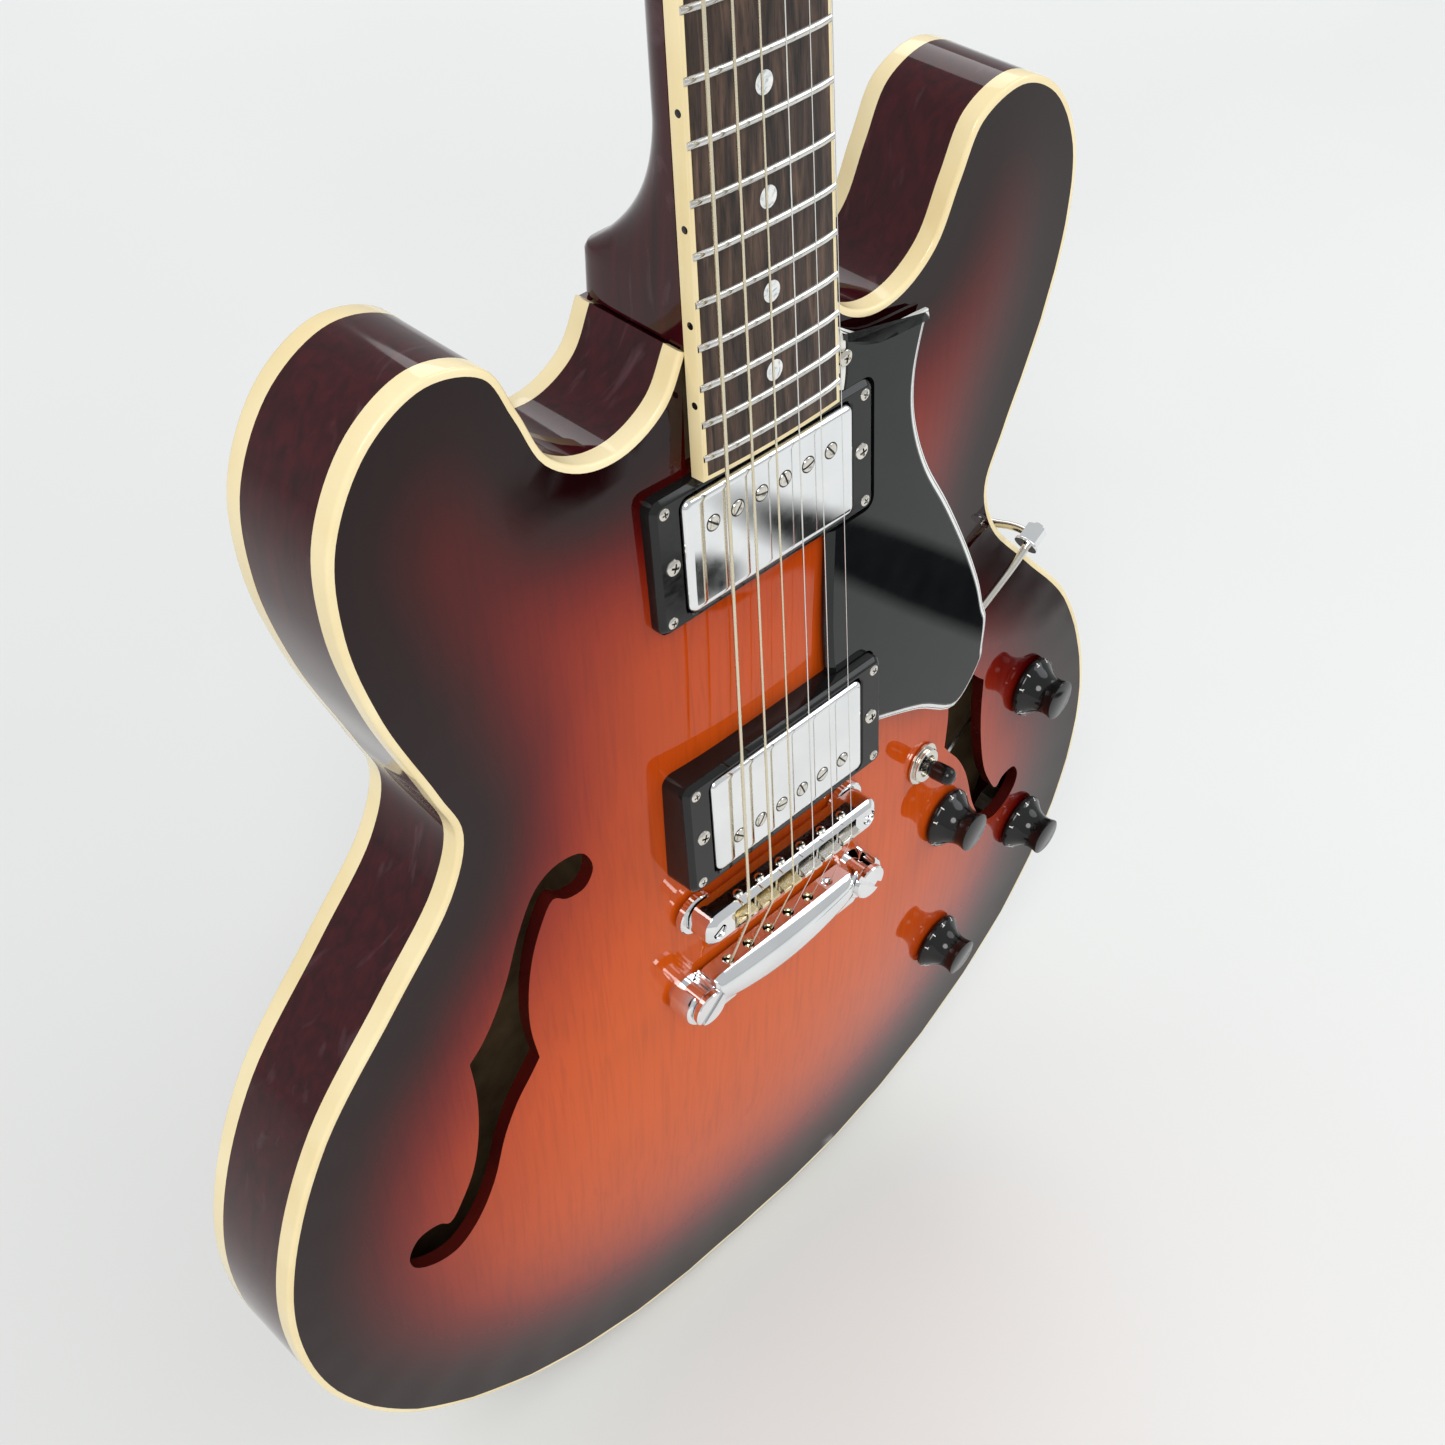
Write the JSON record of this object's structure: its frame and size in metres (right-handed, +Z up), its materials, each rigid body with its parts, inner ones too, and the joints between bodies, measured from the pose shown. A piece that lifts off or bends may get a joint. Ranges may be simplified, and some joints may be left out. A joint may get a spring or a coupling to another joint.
{
  "type": "semi-hollow electric guitar",
  "caption": "Semi-hollow electric guitar with an arched double-cutaway body, f-holes, covered pickups, stop tailpiece, bell knobs and a bound rosewood fingerboard.",
  "frame": {"origin": "centre of the outer face of the end strap button, at the bottom of the body on the centre line", "axes": "+X to the treble side, -Y out of the front, +Z up along the neck; the body's rim lies between Y -0.02075 and 0.02075"},
  "size_m": [0.4188, 0.1346, 1.069],
  "materials": {
    "sunburst_top": "gloss sunburst lacquer, orange in the middle, through red to near black at the edge",
    "dark_wood": "gloss dark wine-red lacquer",
    "block_wood": "bare maple",
    "rosewood": "oiled rosewood with nickel silver frets and pearl dots",
    "ivory_binding": "cream, under gloss lacquer",
    "black_plastic": "gloss black",
    "bone": "polished bone white",
    "chrome": "polished",
    "nickel": "nickel plated",
    "steel": "plain steel",
    "wound_string": "round wound over a steel core"
  },
  "bodies": {
    "guitar": {"top_plate": "sunburst_top", "back_plate": "dark_wood", "rim": "dark_wood", "centre_block": "block_wood", "top_binding": "ivory_binding", "back_binding": "ivory_binding", "neck": "dark_wood", "truss_rod": "steel", "truss_rod_cover": "black_plastic", "fingerboard": "rosewood", "fingerboard_binding": "ivory_binding", "nut": "bone", "bass_tuner_housings": "nickel", "treble_tuner_housings": "nickel", "neck_pickup_ring": "black_plastic", "bridge_pickup_ring": "black_plastic", "string_1": "steel", "string_2": "steel", "string_3": "steel", "string_4": "wound_string", "string_5": "wound_string", "string_6": "wound_string", "pickguard": "black_plastic", "pickguard_bracket": "nickel", "control_harness": "steel", "selector_switch": "chrome", "output_jack": "chrome", "end_strap_button": "chrome", "back_strap_button": "chrome"},
    "neck_pickup": {"neck_pickup": "chrome"},
    "bridge_pickup": {"bridge_pickup": "chrome"},
    "bridge": {"bridge_body": "chrome"},
    "bass_thumbwheel": {"bass_bridge_post": "chrome"},
    "treble_thumbwheel": {"treble_bridge_post": "chrome"},
    "saddle_1": {"saddle_1": "nickel"},
    "saddle_2": {"saddle_2": "nickel"},
    "saddle_3": {"saddle_3": "nickel"},
    "saddle_4": {"saddle_4": "nickel"},
    "saddle_5": {"saddle_5": "nickel"},
    "saddle_6": {"saddle_6": "nickel"},
    "tailpiece": {"tailpiece": "chrome"},
    "bass_stud": {"bass_tailpiece_stud": "chrome"},
    "treble_stud": {"treble_tailpiece_stud": "chrome"},
    "knob_1": {"knob_1": "black_plastic"},
    "knob_2": {"knob_2": "black_plastic"},
    "knob_3": {"knob_3": "black_plastic"},
    "knob_4": {"knob_4": "black_plastic"},
    "switch_lever": {"switch_lever": "black_plastic"},
    "button_1": {"tuner_button_1": "nickel"},
    "button_2": {"tuner_button_2": "nickel"},
    "button_3": {"tuner_button_3": "nickel"},
    "button_4": {"tuner_button_4": "nickel"},
    "button_5": {"tuner_button_5": "nickel"},
    "button_6": {"tuner_button_6": "nickel"},
    "post_1": {"tuner_post_1": "nickel"},
    "post_2": {"tuner_post_2": "nickel"},
    "post_3": {"tuner_post_3": "nickel"},
    "post_4": {"tuner_post_4": "nickel"},
    "post_5": {"tuner_post_5": "nickel"},
    "post_6": {"tuner_post_6": "nickel"}
  },
  "joints": [
    {"name": "neck_pickup_height", "type": "slide", "parent": "guitar", "child": "neck_pickup", "axis": [0, -0.9971, 0.0758], "range_m": [-0.004, 0.003]},
    {"name": "bridge_pickup_height", "type": "slide", "parent": "guitar", "child": "bridge_pickup", "axis": [0, -0.9971, 0.0758], "range_m": [-0.004, 0.002]},
    {"name": "bridge_height", "type": "slide", "parent": "guitar", "child": "bridge", "axis": [0, -1, 0], "range_m": [0, 0.003], "deforming": ["string_1", "string_2", "string_3", "string_4", "string_5", "string_6"]},
    {"name": "bass_thumbwheel_turn", "type": "hinge", "parent": "bridge", "child": "bass_thumbwheel", "pos_m": [-0.037, -0.02445, 0.2643], "axis": [0, -1, 0], "range_deg": [0, 1350]},
    {"name": "treble_thumbwheel_turn", "type": "hinge", "parent": "bridge", "child": "treble_thumbwheel", "pos_m": [0.037, -0.02445, 0.2643], "axis": [0, -1, 0], "range_deg": [0, 1350]},
    {"name": "saddle_1_slide", "type": "slide", "parent": "bridge", "child": "saddle_1", "axis": [0, 0, 1], "range_m": [-0.0022, 0.0022], "deforming": ["string_1"]},
    {"name": "saddle_2_slide", "type": "slide", "parent": "bridge", "child": "saddle_2", "axis": [0, 0, 1], "range_m": [-0.0022, 0.0022], "deforming": ["string_2"]},
    {"name": "saddle_3_slide", "type": "slide", "parent": "bridge", "child": "saddle_3", "axis": [0, 0, 1], "range_m": [-0.0022, 0.0022], "deforming": ["string_3"]},
    {"name": "saddle_4_slide", "type": "slide", "parent": "bridge", "child": "saddle_4", "axis": [0, 0, 1], "range_m": [-0.0022, 0.0022], "deforming": ["string_4"]},
    {"name": "saddle_5_slide", "type": "slide", "parent": "bridge", "child": "saddle_5", "axis": [0, 0, 1], "range_m": [-0.0022, 0.0022], "deforming": ["string_5"]},
    {"name": "saddle_6_slide", "type": "slide", "parent": "bridge", "child": "saddle_6", "axis": [0, 0, 1], "range_m": [-0.0022, 0.0022], "deforming": ["string_6"]},
    {"name": "tailpiece_height", "type": "slide", "parent": "guitar", "child": "tailpiece", "axis": [0, -1, 0], "range_m": [0, 0.003], "deforming": ["string_1", "string_2", "string_3", "string_4", "string_5", "string_6"]},
    {"name": "bass_stud_turn", "type": "hinge", "parent": "tailpiece", "child": "bass_stud", "pos_m": [-0.0412, -0.0285, 0.2271], "axis": [0, -1, 0], "range_deg": [0, 864]},
    {"name": "treble_stud_turn", "type": "hinge", "parent": "tailpiece", "child": "treble_stud", "pos_m": [0.0412, -0.0285, 0.2271], "axis": [0, -1, 0], "range_deg": [0, 864]},
    {"name": "knob_1_turn", "type": "hinge", "parent": "guitar", "child": "knob_1", "pos_m": [0.161, -0.0223, 0.2333], "axis": [0.0674, -0.9972, 0.0317], "range_deg": [0, 300]},
    {"name": "knob_2_turn", "type": "hinge", "parent": "guitar", "child": "knob_2", "pos_m": [0.105, -0.02802, 0.2033], "axis": [0.0816, -0.9965, 0.02], "range_deg": [0, 300]},
    {"name": "knob_3_turn", "type": "hinge", "parent": "guitar", "child": "knob_3", "pos_m": [0.169, -0.02222, 0.1493], "axis": [0.0646, -0.9977, -0.0211], "range_deg": [0, 300]},
    {"name": "knob_4_turn", "type": "hinge", "parent": "guitar", "child": "knob_4", "pos_m": [0.113, -0.0252, 0.1193], "axis": [0.0703, -0.9955, -0.0628], "range_deg": [0, 300]},
    {"name": "switch_throw", "type": "hinge", "parent": "guitar", "child": "switch_lever", "pos_m": [0.08649, -0.02194, 0.24448], "axis": [0.9964, 0.0852, -0.0023], "range_deg": [-12, 12]},
    {"name": "button_1_turn", "type": "hinge", "parent": "guitar", "child": "button_1", "pos_m": [0.04298, 0.04607, 0.92976], "axis": [1, 0, 0], "continuous": true},
    {"name": "button_2_turn", "type": "hinge", "parent": "guitar", "child": "button_2", "pos_m": [0.04621, 0.05998, 0.96938], "axis": [1, 0, 0], "continuous": true},
    {"name": "button_3_turn", "type": "hinge", "parent": "guitar", "child": "button_3", "pos_m": [0.04898, 0.0739, 1.00901], "axis": [1, 0, 0], "continuous": true},
    {"name": "button_4_turn", "type": "hinge", "parent": "guitar", "child": "button_4", "pos_m": [-0.04898, 0.0739, 1.00901], "axis": [-1, 0, 0], "continuous": true},
    {"name": "button_5_turn", "type": "hinge", "parent": "guitar", "child": "button_5", "pos_m": [-0.04621, 0.05998, 0.96938], "axis": [-1, 0, 0], "continuous": true},
    {"name": "button_6_turn", "type": "hinge", "parent": "guitar", "child": "button_6", "pos_m": [-0.04298, 0.04607, 0.92976], "axis": [-1, 0, 0], "continuous": true},
    {"name": "post_1_turn", "type": "hinge", "parent": "guitar", "child": "post_1", "pos_m": [0.02283, 0.0284, 0.93596], "axis": [0, -0.9435, 0.3313], "continuous": true},
    {"name": "post_2_turn", "type": "hinge", "parent": "guitar", "child": "post_2", "pos_m": [0.02605, 0.04232, 0.97559], "axis": [0, -0.9435, 0.3313], "continuous": true},
    {"name": "post_3_turn", "type": "hinge", "parent": "guitar", "child": "post_3", "pos_m": [0.02883, 0.05623, 1.01522], "axis": [0, -0.9435, 0.3313], "continuous": true},
    {"name": "post_4_turn", "type": "hinge", "parent": "guitar", "child": "post_4", "pos_m": [-0.02883, 0.05623, 1.01522], "axis": [0, -0.9435, 0.3313], "continuous": true},
    {"name": "post_5_turn", "type": "hinge", "parent": "guitar", "child": "post_5", "pos_m": [-0.02605, 0.04232, 0.97559], "axis": [0, -0.9435, 0.3313], "continuous": true},
    {"name": "post_6_turn", "type": "hinge", "parent": "guitar", "child": "post_6", "pos_m": [-0.02283, 0.0284, 0.93596], "axis": [0, -0.9435, 0.3313], "continuous": true}
  ],
  "couplings": [
    {"joint": "bass_thumbwheel_turn", "follows": "bridge_height", "rad_per_m": 7853.9},
    {"joint": "treble_thumbwheel_turn", "follows": "bridge_height", "rad_per_m": 7853.9},
    {"joint": "bass_stud_turn", "follows": "tailpiece_height", "rad_per_m": 5026.5},
    {"joint": "treble_stud_turn", "follows": "tailpiece_height", "rad_per_m": 5026.5},
    {"joint": "post_1_turn", "follows": "button_1_turn", "ratio": 0.066667},
    {"joint": "post_2_turn", "follows": "button_2_turn", "ratio": 0.066667},
    {"joint": "post_3_turn", "follows": "button_3_turn", "ratio": 0.066667},
    {"joint": "post_4_turn", "follows": "button_4_turn", "ratio": 0.066667},
    {"joint": "post_5_turn", "follows": "button_5_turn", "ratio": 0.066667},
    {"joint": "post_6_turn", "follows": "button_6_turn", "ratio": 0.066667}
  ]
}
